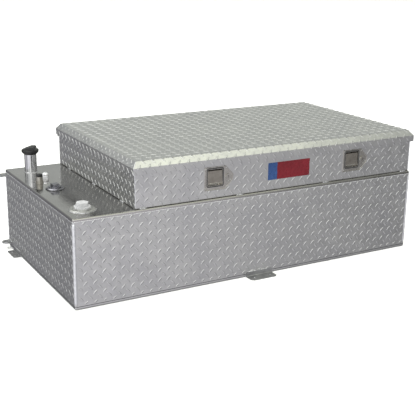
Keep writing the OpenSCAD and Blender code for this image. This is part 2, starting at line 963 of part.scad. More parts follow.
module vent_cap() {
  color([0.1, 0.1, 0.1])
    translate([vent_at[0], vent_at[1], top_z + vent_h])
      rotate_extrude()
        polygon([
          [0, 0], [vent_cap_d / 2 - 1, 0], [vent_cap_d / 2, 1], [vent_cap_d / 2, vent_cap_h - 3],
          [vent_cap_d / 2 - 2, vent_cap_h - 1], [vent_cap_d / 2 - 5, vent_cap_h], [0, vent_cap_h]
        ]);
}

// Breather: a hexagon and a round head with a low waist between them
breather_hex = 25;
breather_stem_d = 10;
module breather() {
  color("silver")
    translate([breather_at[0], breather_at[1], top_z]) {
      cylinder(d = breather_hex, h = 8, $fn = 6);
      rotate_extrude()
        polygon([[0, 0], [10, 0], [10, 9], [12, 11], [12.5, 13], [12.5, 18], [11, 21], [7, 23.5], [0, 24.5]]);
      translate([0, 0, -neck_below])
        cylinder(d = breather_stem_d, h = neck_below + 1);
    }
}

module gauge_bung() {
  color("silver")
    translate([gauge_at[0], gauge_at[1], top_z])
      difference() {
        union() {
          rotate_extrude()
            polygon([[0, 0], [gauge_d / 2, 0], [gauge_d / 2, 3], [gauge_d / 2 - 4, 7], [0, 7]]);
          translate([0, 0, -10])
            cylinder(d = gauge_d - 20, h = 12);
        }
        translate([0, 0, -11])
          cylinder(d = gauge_d - 28, h = 30);
      }
}

// Plug screwed into the bung, with a square head
plug_head_w = 27;
plug_head_h = 10;
module gauge_plug() {
  color("gray")
    translate([gauge_at[0], gauge_at[1], top_z]) {
      translate([0, 0, -8])
        cylinder(d = gauge_d - 28 - 2 * mate, h = 16);
      translate([0, 0, 7])
        cylinder(d = gauge_d - 20, h = 4);
      translate([-plug_head_w / 2, -plug_head_w / 2, 10])
        cube([plug_head_w, plug_head_w, 1 + plug_head_h]);
    }
}

module pump_flange() {
  color("silver")
    translate([pump_at[0], pump_at[1], top_z])
      difference() {
        union() {
          rotate_extrude()
            polygon([[0, 0], [pump_d / 2, 0], [pump_d / 2, 3], [pump_d / 2 - 4, 6], [0, 6]]);
          cylinder(d = pump_d - 26, h = 8);
          translate([0, 0, -12])
            cylinder(d = pump_d - 34, h = 14);
        }
        translate([0, 0, -13])
          cylinder(d = pump_d - 46, h = 30);
      }
}

// Shipping plug with a hexagonal head
hex_w = 48;
module pump_plug() {
  color("white")
    translate([pump_at[0], pump_at[1], top_z])
      union() {
        translate([0, 0, -10])
          cylinder(d = pump_d - 46 - 2 * mate, h = 19);
        translate([0, 0, 8])
          cylinder(d = pump_d - 38, h = 6);
        translate([0, 0, 13])
          cylinder(d = hex_w, h = 15, $fn = 6);
      }
}

// Feet
// Angle section: the flat part lies on the truck bed and the upright part on the tank
module foot_section(out) {
  translate([foot_r, foot_r])
    rotate(180)
      quarter_ring(foot_r, foot_r - sheet);
  translate([foot_r, 0])
    square([out - foot_r, sheet]);
  translate([0, foot_r])
    square([sheet, foot_h - foot_r]);
}

module foot(l, out, pitch, cut) {
  difference() {
    rotate([90, 0, -90])
      linear_extrude(l, center = true)
        foot_section(out);
    for (s = [-1, 1]) {
      translate([s * pitch / 2, -(out + foot_r) / 2, -1])
        cylinder(d = bolt_d, h = 3 * sheet);
      translate([s * l / 2, -out, -1])
        linear_extrude(3 * sheet)
          polygon([[-s * cut, 0], [0, cut], [s, cut], [s, -1], [-s * cut, -1]]);
    }
  }
}

module foot_front() {
  color("silver")
    translate([foot_x, -tank_y, 0])
      foot(foot_l, foot_out, foot_pitch, foot_cut);
}

module foot_left() {
  color("silver")
    translate([-tank_x, end_foot_y, 0])
      rotate([0, 0, -90])
        foot(end_foot_l, end_foot_out, end_foot_pitch, end_foot_cut);
}

module foot_right() {
  color("silver")
    translate([tank_x, end_foot_y, 0])
      rotate([0, 0, 90])
        foot(end_foot_l, end_foot_out, end_foot_pitch, end_foot_cut);
}

// Weld beads along the top edge of each foot
module foot_bead(l) {
  translate([-l / 2, 0, foot_h])
    rotate([90, 0, 90])
      linear_extrude(l)
        polygon([[0, 0], [-sheet, 0], [-sheet * 0.8, sheet * 0.9], [0, 2 * sheet]]);
}

module foot_welds() {
  color("lightgray") {
    translate([foot_x, -tank_y, 0])
      foot_bead(foot_l - 12);
    translate([-tank_x, end_foot_y, 0])
      rotate([0, 0, -90])
        foot_bead(end_foot_l - 12);
    translate([tank_x, end_foot_y, 0])
      rotate([0, 0, 90])
        foot_bead(end_foot_l - 12);
  }
}

// Lugs at the rear corner of the left end
module lug(out) {
  difference() {
    linear_extrude(lug_t)
      intersection() {
        union() {
          translate([-out + lug_w / 2, -lug_w / 2])
            square([lug_w, lug_w]);
          translate([-out + lug_w / 2, 0])
            circle(d = lug_w);
        }
        translate([-out, -lug_w / 2])
          square([out, lug_w]);
      }
    translate([-out + eye_in, 0, -1])
      cylinder(d = eye_d, h = lug_t + 2);
  }
}

module lug_upper() {
  color("silver")
    translate([-tank_x, lug_y, top_z - pan_lip - lug_t - lug_gap])
      lug(lug_out);
}

module lug_lower() {
  color("silver")
    translate([-tank_x, lug_y, lug_low_z])
      lug(lug_low_out);
}

tank_wall();
tank_top();
tank_bottom();
baffle(-1);  // baffle_left
baffle(1);  // baffle_right
box_front();
box_rear();
box_end_left();
box_end_right();
seam_welds();
lid_pan();
lid_rib(-1);  // lid_rib_left
lid_rib(0);  // lid_rib_middle
lid_rib(1);  // lid_rib_right
lid_seal();
hinge_leaf_box();
hinge_leaf_lid();
hinge_pin();
strut_stud_box(-1);  // strut_stud_box_left
strut_stud_box(1);  // strut_stud_box_right
strut_stud_lid(-1);  // strut_stud_lid_left
strut_stud_lid(1);  // strut_stud_lid_right
strut_tube(-1);  // strut_tube_left
strut_tube(1);  // strut_tube_right
strut_rod(-1);  // strut_rod_left
strut_rod(1);  // strut_rod_right
latch_plate(-1);  // latch_plate_left
latch_plate(1);  // latch_plate_right
latch_bracket(-1);  // latch_bracket_left
latch_bracket(1);  // latch_bracket_right
latch_paddle(-1);  // latch_paddle_left
latch_paddle(1);  // latch_paddle_right
paddle_pin(-1);  // paddle_pin_left
paddle_pin(1);  // paddle_pin_right
latch_pawl(-1);  // latch_pawl_left
latch_pawl(1);  // latch_pawl_right
pawl_pin(-1);  // pawl_pin_left
pawl_pin(1);  // pawl_pin_right
latch_lock(-1);  // latch_lock_left
latch_lock(1);  // latch_lock_right
striker(-1);  // striker_left
striker(1);  // striker_right
filler_neck();
filler_plug();
filler_cap();
vent_body();
vent_cap();
breather();
gauge_bung();
gauge_plug();
pump_flange();
pump_plug();
foot_front();
foot_left();
foot_right();
foot_welds();
lug_upper();
lug_lower();
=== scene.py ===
"""Looks of a tread plate transfer tank with a toolbox on top.

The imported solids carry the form. This script gives them their finishes and adds what a press, a
welder and a fitter leave on them: the raised lugs of the plate, rippled and ground welds, rivets,
rolled edges and a vinyl patch. Lengths are written in millimetres, as on the drawing, and become
metres in the mesh. The studio at the end is in metres.
"""
import json
import math

import bpy
import numpy as np
from mathutils import Matrix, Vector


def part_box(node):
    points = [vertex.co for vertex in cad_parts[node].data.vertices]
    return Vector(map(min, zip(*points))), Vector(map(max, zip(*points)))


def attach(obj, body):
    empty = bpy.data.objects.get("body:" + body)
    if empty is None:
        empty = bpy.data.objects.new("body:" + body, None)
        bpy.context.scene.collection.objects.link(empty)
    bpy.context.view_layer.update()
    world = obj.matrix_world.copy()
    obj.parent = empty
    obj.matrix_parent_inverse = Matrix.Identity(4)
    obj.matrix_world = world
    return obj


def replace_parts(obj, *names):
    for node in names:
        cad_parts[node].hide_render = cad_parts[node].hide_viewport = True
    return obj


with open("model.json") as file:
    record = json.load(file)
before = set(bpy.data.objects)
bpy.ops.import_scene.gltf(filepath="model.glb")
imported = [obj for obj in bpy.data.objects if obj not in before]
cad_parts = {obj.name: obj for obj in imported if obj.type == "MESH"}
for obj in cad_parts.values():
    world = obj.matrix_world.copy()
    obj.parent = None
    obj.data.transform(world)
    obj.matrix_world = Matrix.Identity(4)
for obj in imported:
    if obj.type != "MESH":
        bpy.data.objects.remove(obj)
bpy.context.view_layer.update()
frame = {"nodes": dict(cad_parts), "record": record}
MM = 0.001
X, Y, Z = np.eye(3)


def span(part):
    """Lowest and highest corner of a solid, in millimetres."""
    low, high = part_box(part)
    return np.array(low) / MM, np.array(high) / MM


# Sizes of the solids that the added pieces lie on
TANK_LOW, TANK_HIGH = span("tank_wall")
TOP = span("tank_top")[1][2]
BOX_LOW, BOX_HIGH = span("box_front")
BOX_Y = -BOX_LOW[1]
LID_LOW, LID_HIGH = span("lid_pan")
BEVEL_DOWN = 21.0
BEVEL_IN = 17.0
BEVEL_WIDE = math.hypot(BEVEL_DOWN, BEVEL_IN)
LIP_TOP = LID_HIGH[2] - BEVEL_DOWN
FOLD = 6.0
LATCHES = {side: span("latch_plate_" + side) for side in ("left", "right")}


# Finishes

def linear(hex_code):
    """sRGB hex to linear: c / 12.92 below 0.04045, else ((c + 0.055) / 1.055) ** 2.4."""
    parts = [int(hex_code[i:i + 2], 16) / 255 for i in (1, 3, 5)]
    return tuple(c / 12.92 if c <= 0.04045 else ((c + 0.055) / 1.055) ** 2.4
                 for c in parts) + (1.0,)


def add(tree, kind, inputs=(), **settings):
    """Adds one node; an input is a constant or another node's output, which gets linked."""
    made = tree.nodes.new(kind)
    for name, value in settings.items():
        setattr(made, name, value)
    for key, value in dict(inputs).items():
        if isinstance(value, bpy.types.NodeSocket):
            tree.links.new(value, made.inputs[key])
        else:
            made.inputs[key].default_value = value
    return made


def per_metre(size_mm):
    """Noise scale whose features are about size_mm across."""
    return 1.0 / (size_mm * MM)


# Where most of a noise's values lie, and how much finer the smudges are than the patches of colour
NOISE_LOW, NOISE_HIGH = 0.3, 0.7
SMUDGE = 0.37


def surface(name, light, dark, rough, patch_mm, grain_mm, grain_deep, stretch=(1, 1, 1),
            wave_mm=60.0, wave_deep=0.0, metallic=0.0, contrast=1.0, **shader):
    """A finish of two close shades in soft patches, roughness that drifts between two values in
    finer patches, a fine grain and a slow wave that both tilt the surface. Depths are in mm, and
    `stretch` draws the grain out across the axes where it is above 1."""
    material = bpy.data.materials.new(name)
    material.use_nodes = True
    tree = material.node_tree
    tree.nodes.clear()
    place = add(tree, "ShaderNodeTexCoord").outputs["Object"]
    patch = add(tree, "ShaderNodeTexNoise", {
        "Vector": place, "Scale": per_metre(patch_mm), "Detail": 4.0})
    shade = add(tree, "ShaderNodeValToRGB", {"Fac": patch.outputs["Fac"]})
    half_step = 0.25 / contrast
    shade.color_ramp.elements[0].position = 0.5 - half_step
    shade.color_ramp.elements[0].color = linear(dark)
    shade.color_ramp.elements[1].position = 0.5 + half_step
    shade.color_ramp.elements[1].color = linear(light)
    smudge = add(tree, "ShaderNodeTexNoise", {
        "Vector": place, "Scale": per_metre(patch_mm * SMUDGE), "Detail": 5.0})
    gloss = add(tree, "ShaderNodeMapRange", {
        "Value": smudge.outputs["Fac"], "From Min": NOISE_LOW, "From Max": NOISE_HIGH,
        "To Min": rough[0], "To Max": rough[1]})
    drawn = add(tree, "ShaderNodeMapping", {"Vector": place, "Scale": stretch})
    grain = add(tree, "ShaderNodeTexNoise", {
        "Vector": drawn.outputs["Vector"], "Scale": per_metre(grain_mm), "Detail": 3.0})
    slow = add(tree, "ShaderNodeTexNoise", {
        "Vector": place, "Scale": per_metre(wave_mm), "Detail": 1.0})
    swell = add(tree, "ShaderNodeBump", {
        "Height": slow.outputs["Fac"], "Distance": wave_deep * MM, "Strength": 1.0})
    fine = add(tree, "ShaderNodeBump", {
        "Height": grain.outputs["Fac"], "Distance": grain_deep * MM, "Strength": 1.0,
        "Normal": swell.outputs["Normal"]})
    bsdf = add(tree, "ShaderNodeBsdfPrincipled", {
        "Base Color": shade.outputs["Color"], "Roughness": gloss.outputs["Result"],
        "Metallic": metallic, "Normal": fine.outputs["Normal"], **shader})
    add(tree, "ShaderNodeOutputMaterial", {"Surface": bsdf.outputs["BSDF"]})
    return material


# Rolled 3003 tread plate as it leaves the mill: bright grey, faint roll lines, hazy smudges and a
# slow unevenness that makes the reflections swim.
tread_plate = surface("rolled_aluminium_tread_plate", "#cfcfcd", "#bfbfc0", (0.30, 0.42), 90, 1.6,
                      0.02, stretch=(1, 1, 6), wave_mm=70, wave_deep=0.5, metallic=1.0)
# The crowns of the lugs are burnished by handling, and their colour is a little lighter than the
# plate's, a painted highlight, so they glint over a duller plate.
lug_crown_and_sheen = surface("burnished_tread_lugs_and_sheen", "#d6d6d5", "#c6c6c6", (0.29, 0.40), 60, 1.2, 0.01,
                    wave_mm=30, wave_deep=0.05, metallic=1.0)
# Smooth 5052 sheet: near enough a mirror, with drag marks one way and a warm grey cast.
plain_sheet = surface("smooth_aluminium_sheet", "#afadab", "#9e9c9a", (0.10, 0.17), 140, 0.9, 0.004,
                      stretch=(1, 14, 1), wave_mm=160, wave_deep=0.5, metallic=1.0)
# Cut and folded mill-finish stock: matt grey with fine lines along it.
mill_aluminium = surface("mill_finish_aluminium", "#c6c6c3", "#adadac", (0.32, 0.46), 40, 0.8,
                         0.015, stretch=(1, 8, 1), wave_mm=40, wave_deep=0.1, metallic=1.0)
# Angle stock of the feet and ears: grey from handling and welding smoke, cut with a saw.
handled_aluminium = surface("handled_aluminium_angle", "#b3b3b4", "#939395", (0.38, 0.52), 26, 1.2,
                            0.03, stretch=(1, 1, 6), wave_mm=30, wave_deep=0.2, metallic=1.0)
# Bright weld metal with sooty edges.
weld_bead = surface("mig_weld_bead", "#e2e2e5", "#98989c", (0.3, 0.5), 7, 1.0, 0.06,
                    wave_mm=6, wave_deep=0.1, metallic=1.0, contrast=1.6)
# The same weld ground back with a flap disc: frosty, pale and even.
ground_weld = surface("flap_ground_weld", "#eaeaed", "#d6d6d9", (0.46, 0.6), 12, 0.8, 0.04,
                      wave_mm=9, wave_deep=0.08, metallic=1.0)
# Painted shade on the thin beads round the gauge and along the tank's foot: a dark weld colour that
# stands in for the shadow line at those rims, a dark line without glints.
weld_rim_shade = surface("dark_weld_rim_painted_shade", "#545456", "#39393b", (0.4, 0.6), 9, 1.0, 0.05,
                      wave_mm=8, wave_deep=0.1, metallic=1.0)
# Extruded rubber: soft black with a bloom.
seal_rubber = surface("extruded_epdm_rubber", "#2a2a2b", "#1b1b1c", (0.62, 0.8), 30, 0.7, 0.02,
                      wave_mm=20, wave_deep=0.05)
# Powder coat on the strut tubes: even black with orange peel.
strut_black = surface("black_powder_coat", "#1d1d1f", "#141416", (0.28, 0.36), 40, 0.9, 0.02,
                      wave_mm=8, wave_deep=0.02)
# Zinc plate on pins, pawls and studs: cool grey with a faint yellow drift.
plated_steel = surface("zinc_plated_steel", "#c3c5c6", "#a9a8a0", (0.22, 0.34), 18, 0.7, 0.01,
                       wave_mm=20, wave_deep=0.03, metallic=1.0)
# Zinc-plated pipe gone dull: soft brownish grey without sharp reflections.
dull_zinc = surface("dull_zinc_plated_pipe", "#b6b3ad", "#9a968f", (0.4, 0.5), 14, 0.9, 0.02,
                    stretch=(1, 1, 5), wave_mm=18, wave_deep=0.05, metallic=1.0)
# Oiled steel of the gauge fittings: the one darker grey ring on the bright sheet.
dark_steel = surface("oiled_dark_steel", "#94949a", "#717177", (0.2, 0.32), 16, 0.8, 0.015,
                     wave_mm=14, wave_deep=0.08, metallic=1.0)
# Drawn bar of the small breather: frosted, and the palest metal on the tank.
bright_bar = surface("bright_drawn_bar", "#ffffff", "#ececf2", (0.34, 0.46), 12, 0.7, 0.01,
                     wave_mm=14, wave_deep=0.04, metallic=1.0)
# Turned and polished neck: clear reflections with rings from the cutter.
polished_metal = surface("turned_aluminium_tube", "#c2c2c4", "#ababad", (0.11, 0.17), 40, 0.6,
                         0.004, stretch=(1, 1, 14), wave_mm=30, wave_deep=0.02, metallic=1.0)
# Stamped stainless of the latches: brownish grey, brushed across.
stainless = surface("brushed_stainless_stamping", "#bdbab5", "#a5a29d", (0.24, 0.34), 30, 0.5,
                    0.008, stretch=(1, 1, 14), wave_mm=24, wave_deep=0.08, metallic=1.0)
# The paddles are of the same stamping, greasy from hands: browner, with soft smears.
paddle_steel = surface("greasy_stainless_paddle", "#a39e95", "#88837b", (0.26, 0.4), 22, 0.6, 0.01,
                       stretch=(1, 1, 10), wave_mm=20, wave_deep=0.1, metallic=1.0)
# Moulded cap: black nylon with a fine spark-eroded texture, greyed by sun.
black_plastic = surface("moulded_black_nylon", "#151516", "#0d0d0f", (0.42, 0.58), 24, 0.6, 0.03,
                        wave_mm=12, wave_deep=0.02)
# Shipping plug: white polyethylene, waxy and a little translucent.
white_plastic = surface("moulded_white_polyethylene", "#b0b0b2", "#a2a2a4", (0.34, 0.46), 22, 0.9,
                        0.02, wave_mm=14, wave_deep=0.05, **{
                            "Subsurface Weight": 0.15, "Subsurface Radius": (0.004, 0.004, 0.004)})
# Cast vinyl stuck over the lugs, dark red and blue: even colour with a soft gloss.
red_vinyl, blue_vinyl = [
    surface(name, light, dark, (0.5, 0.6), 60, 1.0, 0.008, wave_mm=30, wave_deep=0.03,
            **{"Specular IOR Level": 0.25})
    for name, light, dark in (("cast_red_vinyl", "#640f1c", "#560c17"),
                              ("cast_blue_vinyl", "#26416f", "#1f3763"))]
# Matt paint on the studio's floor: plain white with no visible texture.
floor_paint = surface("matt_white_floor", "#f6f6f5", "#f3f3f2", (0.9, 0.95), 900, 5, 0.0)

# Finish of each solid: its slot in the record, then its own wear where it has some
FINISHES = {
    "tread_plate": tread_plate, "plain_sheet": plain_sheet, "mill_aluminium": mill_aluminium,
    "weld_bead": weld_bead, "seal_rubber": seal_rubber, "strut_black": strut_black,
    "plated_steel": plated_steel, "stainless": stainless, "polished_metal": polished_metal,
    "black_plastic": black_plastic, "white_plastic": white_plastic,
}
WORN = {
    "foot_front": handled_aluminium, "foot_left": handled_aluminium,
    "foot_right": handled_aluminium, "lug_upper": handled_aluminium,
    "lug_lower": handled_aluminium, "latch_paddle_left": paddle_steel,
    "latch_paddle_right": paddle_steel, "vent_body": dull_zinc, "gauge_plug": dark_steel,
    "gauge_bung": dark_steel, "breather": bright_bar,
}
for entry in frame["record"]["subparts"]:
    part = entry["node"]
    for holder in frame["nodes"][part].material_slots:
        holder.material = WORN.get(part, FINISHES[entry["material_slot"]])


# Meshes

def mesh_object(name, shape, finish, unit=MM):
    """An object at the origin, from points and the index rows of its faces."""
    points, faces = shape
    mesh = bpy.data.meshes.new(name)
    rows = [row for block in faces for row in block.tolist()]
    mesh.from_pydata((np.asarray(points) * unit).tolist(), [], rows)
    mesh.validate()
    mesh.shade_smooth()
    mesh.materials.append(finish)
    made = bpy.data.objects.new(name, mesh)
    bpy.context.scene.collection.objects.link(made)
    return made


def piece(name, shape, finish, body):
    """A piece of the part that rides on a body and takes its finish from a slot."""
    made = mesh_object(name, shape, finish)
    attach(made, body)
    return made


def skin(rings, sides, closed=False):
    """Faces over rings of equal size. Quads join points i and i + 1 of ring k to those of ring
    k + 1. The last ring joins the first where the path is closed, else both ends are flat."""
    i = np.arange(sides)
    k = np.arange(rings if closed else rings - 1)[:, None]
    a = k * sides + i
    b = k * sides + (i + 1) % sides
    step = (k + 1) % rings - k
    quads = np.stack([a, b, b + step * sides, a + step * sides], axis=-1).reshape(-1, 4)
    return [quads] if closed else [quads, i[None, ::-1], (rings - 1) * sides + i[None]]


def copied(faces, copies, size):
    """Faces of a shape of `size` points once for each copy, moved up by size for each."""
    steps = (np.arange(copies) * size)[:, None, None]
    return [(steps + block[None]).reshape(-1, block.shape[1]) for block in faces]


def join(shapes):
    """Several shapes as one: the indices of each are moved up past the points before it."""
    points, faces, start = [], [], 0
    for these, rows in shapes:
        points.append(these)
        faces += [block + start for block in rows]
        start += len(these)
    return np.concatenate(points), faces


def repeat(shape, origins, axes):
    """One shape at many places: copy n of point p is origins[n] + p times the rows axes[n]."""
    points, faces = shape
    copies = origins[:, None, :] + np.einsum("pk,nkj->npj", points, axes)
    return copies.reshape(-1, 3), copied(faces, len(origins), len(points))


def around(count):
    """Angles of `count` even steps round a circle."""
    return np.arange(count) * 2 * np.pi / count


def outward(t):
    """Unit vectors round Z: (cos t, sin t, 0)."""
    return np.stack([np.cos(t), np.sin(t), 0 * t], axis=-1)


def spin(profile, sides=48):
    """Turns an (r, z) profile about Z: (r cos t, r sin t, z), with flat ends top and bottom."""
    profile = np.asarray(profile, float)[:, None]
    points = profile[..., :1] * outward(around(sides)) + profile[..., 1:] * Z
    return points.reshape(-1, 3), skin(len(profile), sides)


def tube(path, radius, side_a, side_b, closed=False, sides=10):
    """A round section carried along a path: P(s) + r(s) (cos t a + sin t b)."""
    t = around(sides)[:, None]
    a = np.broadcast_to(side_a, path.shape)[:, None, :]
    b = np.broadcast_to(side_b, path.shape)[:, None, :]
    r = np.broadcast_to(radius, len(path))[:, None, None]
    points = path[:, None, :] + r * (np.cos(t) * a + np.sin(t) * b)
    return points.reshape(-1, 3), skin(len(path), sides, closed)


def blunt(s, power, least):
    """Rounds off both ends of a path that runs from 0 to 1: sqrt(1 - |2 s - 1| ** power), with
    the term under the root no lower than `least`."""
    return np.sqrt(np.clip(1 - np.abs(2 * s - 1) ** power, least, 1))


# Raised lugs of the plate: half length, half width and height of one, and the least width at
# which a lug that an edge cuts is still drawn
LUG_LONG = 13.2
LUG_HALF = 4.3
LUG_HIGH = 1.1
LEAST_LUG = 3.0


def one_lug(sides=12):
    """A lug as rings of a pointed oval, (a cos t, b sin t |sin t|): full size just under the plate,
    then drawn in and raised to the crown."""
    t = around(sides)
    rings = [(1.0, 1.0, -0.3), (0.88, 0.72, 0.7 * LUG_HIGH), (0.62, 0.36, LUG_HIGH)]
    points = np.concatenate([
        np.stack([LUG_LONG * long * np.cos(t), LUG_HALF * wide * np.sin(t) * np.abs(np.sin(t)),
                  np.full(sides, high)], axis=1)
        for long, wide, high in rings])
    return points, skin(len(rings), sides)


def lug_panel(name, origin, along, up, size, pitch, first, body, keep_out=(), relief=1.0):
    """Lugs over a flat panel, seen from outside with `along` to the right. Lugs that lean right
    sit at first + (i pu, j pv), those that lean left half a pitch on. Each point is
    origin + u along + v up + w normal, with u and v held inside the panel, as a shear leaves them.
    Relief scales the height, because the press leaves some sheets flatter."""
    size, pitch = np.asarray(size), np.asarray(pitch)
    shape, faces = one_lug()
    count = np.ceil(size / pitch).astype(int) + 2
    i, j = np.meshgrid(*(np.arange(-n, n + 1) for n in count))
    cells = np.stack([i.ravel(), j.ravel()], axis=1) * pitch + first
    centres = np.concatenate([cells, cells + pitch / 2])
    lean = np.repeat([1.0, -1.0], len(cells)) * np.pi / 4
    reach = LUG_LONG * 0.7
    keep = (centres > -reach).all(axis=1) & (centres < size + reach).all(axis=1)
    for low, high in keep_out:
        keep &= ~((centres > low) & (centres < high)).all(axis=1)
    centres, lean = centres[keep], lean[keep, None]
    p, q, w = shape.T
    u = np.clip(centres[:, :1] + p * np.cos(lean) - q * np.sin(lean), 0, size[0])
    v = np.clip(centres[:, 1:] + p * np.sin(lean) + q * np.cos(lean), 0, size[1])
    whole = (np.ptp(u, axis=1) > LEAST_LUG) & (np.ptp(v, axis=1) > LEAST_LUG)
    u, v = u[whole, :, None], v[whole, :, None]
    w = (w * np.where(w > 0, relief, 1))[:, None]
    points = origin + u * along + v * up + w * np.cross(along, up)
    # The lugs take the lighter lug colour, partly a painted highlight.
    piece(name, (points.reshape(-1, 3), copied(faces, len(u), len(shape))), lug_crown_and_sheen, body)


def side_of(low, high, side):
    """One upright side of a box, seen from outside: its lower left corner, the direction that runs
    right along it, and how far it runs."""
    along = {"front": X, "right": Y, "rear": -X, "left": -Y}[side]
    corner = np.where([side in ("right", "rear"), side in ("rear", "left"), False], high, low)
    return corner, along, abs(along @ (high - low))


def side_lugs(name, low, high, side, inset, pitch, first, body, **rest):
    """Lugs on one upright side of a box, kept `inset` from its ends."""
    corner, along, run = side_of(low, high, side)
    lug_panel(name, corner + inset * along, along, Z, (run - 2 * inset, high[2] - low[2]), pitch,
              first, body, **rest)


# Tank: its corners are welded and ground, so the lugs stop short of them. Pitch of the rows along
# and up, distance of the first lug from the panel's left end, and height of one row over the ground
CORNER_MARGIN = 12.0
LONG_PITCH = (36.5, 37.8)
END_PITCH = (36.3, 36.0)
TANK_ROW = 285.0
wall_low, wall_high = TANK_LOW + 8.0 * Z, TANK_HIGH - 3.0 * Z
for side, pitch, first, relief in (
        ("front", LONG_PITCH, 29.5, 0.72), ("left", END_PITCH, 14.0, 0.6),
        ("rear", LONG_PITCH, 18.0, 0.72), ("right", END_PITCH, 10.0, 0.72)):
    side_lugs("tank_%s_lugs" % side, wall_low, wall_high, side, CORNER_MARGIN, pitch,
              (first, TANK_ROW - wall_low[2]), "tank", relief=relief)

# Toolbox: the lugs start over its foot weld and stop under the lid, and behind under the hinge
BOX_BASE = TOP + 6.0
BOX_PITCH = (37.5, 36.5)
BOX_END_PITCH = (36.5, 36.5)
BOX_FIRST = (-102.0 - BOX_LOW[0], 445.0 - BOX_BASE)
REAR_FIRST = (24.0, 26.0)
END_FIRST = (18.0, 26.0)
SHEET_T = 3.0
# The patch on its front, from (x, z) to (x, z)
PATCH_LOW = np.array([41.0, 382.0])
PATCH_HIGH = np.array([236.0, 450.0])

box_corner = np.array([BOX_LOW[0], BOX_BASE])
covered = [(low[::2] - box_corner, high[::2] - box_corner) for low, high in LATCHES.values()]
covered.append((PATCH_LOW - box_corner, PATCH_HIGH - box_corner))
box_low = np.array([BOX_LOW[0], -BOX_Y, BOX_BASE])
box_high = np.array([BOX_HIGH[0], BOX_Y, BOX_HIGH[2] - 5.0])
under_hinge = np.array([BOX_HIGH[0], BOX_Y, span("hinge_leaf_box")[0][2]])
side_lugs("box_front_lugs", box_low, box_high, "front", 0, BOX_PITCH, BOX_FIRST, "tank",
          keep_out=covered, relief=0.55)
side_lugs("box_rear_lugs", box_low, under_hinge, "rear", 0, BOX_PITCH, REAR_FIRST, "tank")
for side in ("left", "right"):
    side_lugs("box_%s_lugs" % side, box_low, box_high, side, SHEET_T, BOX_END_PITCH, END_FIRST,
              "tank")

# Lid: it is one folded sheet, so its rows run on over the bevels and down the lips
LID_PITCH = (39.4, 38.9)
LID_FIRST = (165.0, 288.0)
BEVEL_ROW = 3.8
LIP_ROW = -10.2
lip_high = LIP_TOP - LID_LOW[2]
lug_panel("lid_top_lugs", (LID_LOW + BEVEL_IN) * (X + Y) + LID_HIGH * Z, X, Y,
          (LID_HIGH - LID_LOW)[:2] - 2 * BEVEL_IN, LID_PITCH, LID_FIRST, "lid")
for side in ("front", "right", "rear", "left"):
    corner, along, run = side_of(LID_LOW, LID_HIGH, side)
    pitch = LID_PITCH if side in ("front", "rear") else LID_PITCH[::-1]
    slope = (BEVEL_IN * np.cross(Z, along) + BEVEL_DOWN * Z) / BEVEL_WIDE
    lug_panel("lid_%s_bevel_lugs" % side, corner + lip_high * Z + BEVEL_IN * along, along, slope,
              (run - 2 * BEVEL_IN, BEVEL_WIDE), pitch, (LID_FIRST[0], BEVEL_ROW), "lid",
              relief=0.65)
    lug_panel("lid_%s_lip_lugs" % side, corner, along, Z, (run, lip_high), pitch,
              (LID_FIRST[0] + BEVEL_IN, LIP_ROW), "lid")


# Weld beads: length of one drop of the stick welds, and of the rings round the fittings
DROP = 3.2
RING_DROP = 4.0


def drops(s, pitch, depth):
    """Swell of a bead, one drop to a pitch: 1 - depth + depth |sin(pi s / pitch)|."""
    return 1 - depth + depth * np.abs(np.sin(np.pi * s / pitch))


def straight_bead(start, along, length, radius):
    """A rippled bead with rounded ends, from start along a level unit direction."""
    s = np.linspace(0, length, max(12, int(length / 0.8)))
    r = radius * drops(s, DROP, 0.16) * blunt(s / length, 6, 0.02)
    return tube(start + s[:, None] * along, r, Z, np.cross(along, Z))


def ring_bead(centre, ring_r, radius):
    """A rippled bead round a circle in XY, with a whole number of drops."""
    t = around(int(2 * np.pi * ring_r))
    out = outward(t)
    r = radius * drops(t, 2 * np.pi / round(2 * np.pi * ring_r / RING_DROP), 0.14)
    return tube(centre + ring_r * out, r, out, -Z, closed=True)


# Beads of the stick welds: distance of the centre out from the wall, distance from the face that
# it joins to the wall, and radius
SIDE_STITCH = (1.6, 1.4, 3.0)
END_STITCH = (1.6, 1.6, 3.2)
FOOT_BEAD = (1.4, 1.2, 2.9)
EAR_BEAD = (1.2, 0.8, 3.0)

# Stitches along the foot of the toolbox: four on each long side and three on the end
STITCH = 30.0
END_SPREAD = 0.7
stitches = []
off, up, radius = SIDE_STITCH
for x in np.linspace(BOX_LOW[0] + STITCH, BOX_HIGH[0] - STITCH, 4):
    for y in (-BOX_Y - off, BOX_Y + off):
        stitches.append(straight_bead((x - STITCH / 2, y, TOP + up), X, STITCH, radius))
off, up, radius = END_STITCH
for y in np.array([-1, 0, 1]) * BOX_Y * END_SPREAD:
    stitches.append(straight_bead((BOX_LOW[0] - off, y - STITCH / 2, TOP + up), Y, STITCH, radius))
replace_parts(piece("box_stitch_beads", join(stitches), weld_bead, "tank"), "seam_welds")

# One bead over each foot, and one above and below each ear
FOOT_END = 6.0
off, up, radius = FOOT_BEAD
foot_beads = []
for foot, along, wall in (("foot_front", X, TANK_LOW * Y), ("foot_left", Y, TANK_LOW * X),
                          ("foot_right", Y, TANK_HIGH * X)):
    low, high = span(foot)
    start = along * (low + FOOT_END) + wall + off * np.sign(wall) + Z * (high + up)
    foot_beads.append(straight_bead(start, along, along @ (high - low) - 2 * FOOT_END, radius))
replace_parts(piece("foot_beads", join(foot_beads), weld_bead, "tank"), "foot_welds")

EAR_END = 1.0
off, up, radius = EAR_BEAD
ear_beads = []
for ear in ("lug_upper", "lug_lower"):
    low, high = span(ear)
    for z in (low[2] - up, high[2] + up):
        ear_beads.append(straight_bead((TANK_LOW[0] - off, low[1] + EAR_END, z), Y,
                                       high[1] - low[1] - 2 * EAR_END, radius))
piece("ear_beads", join(ear_beads), weld_bead, "tank")


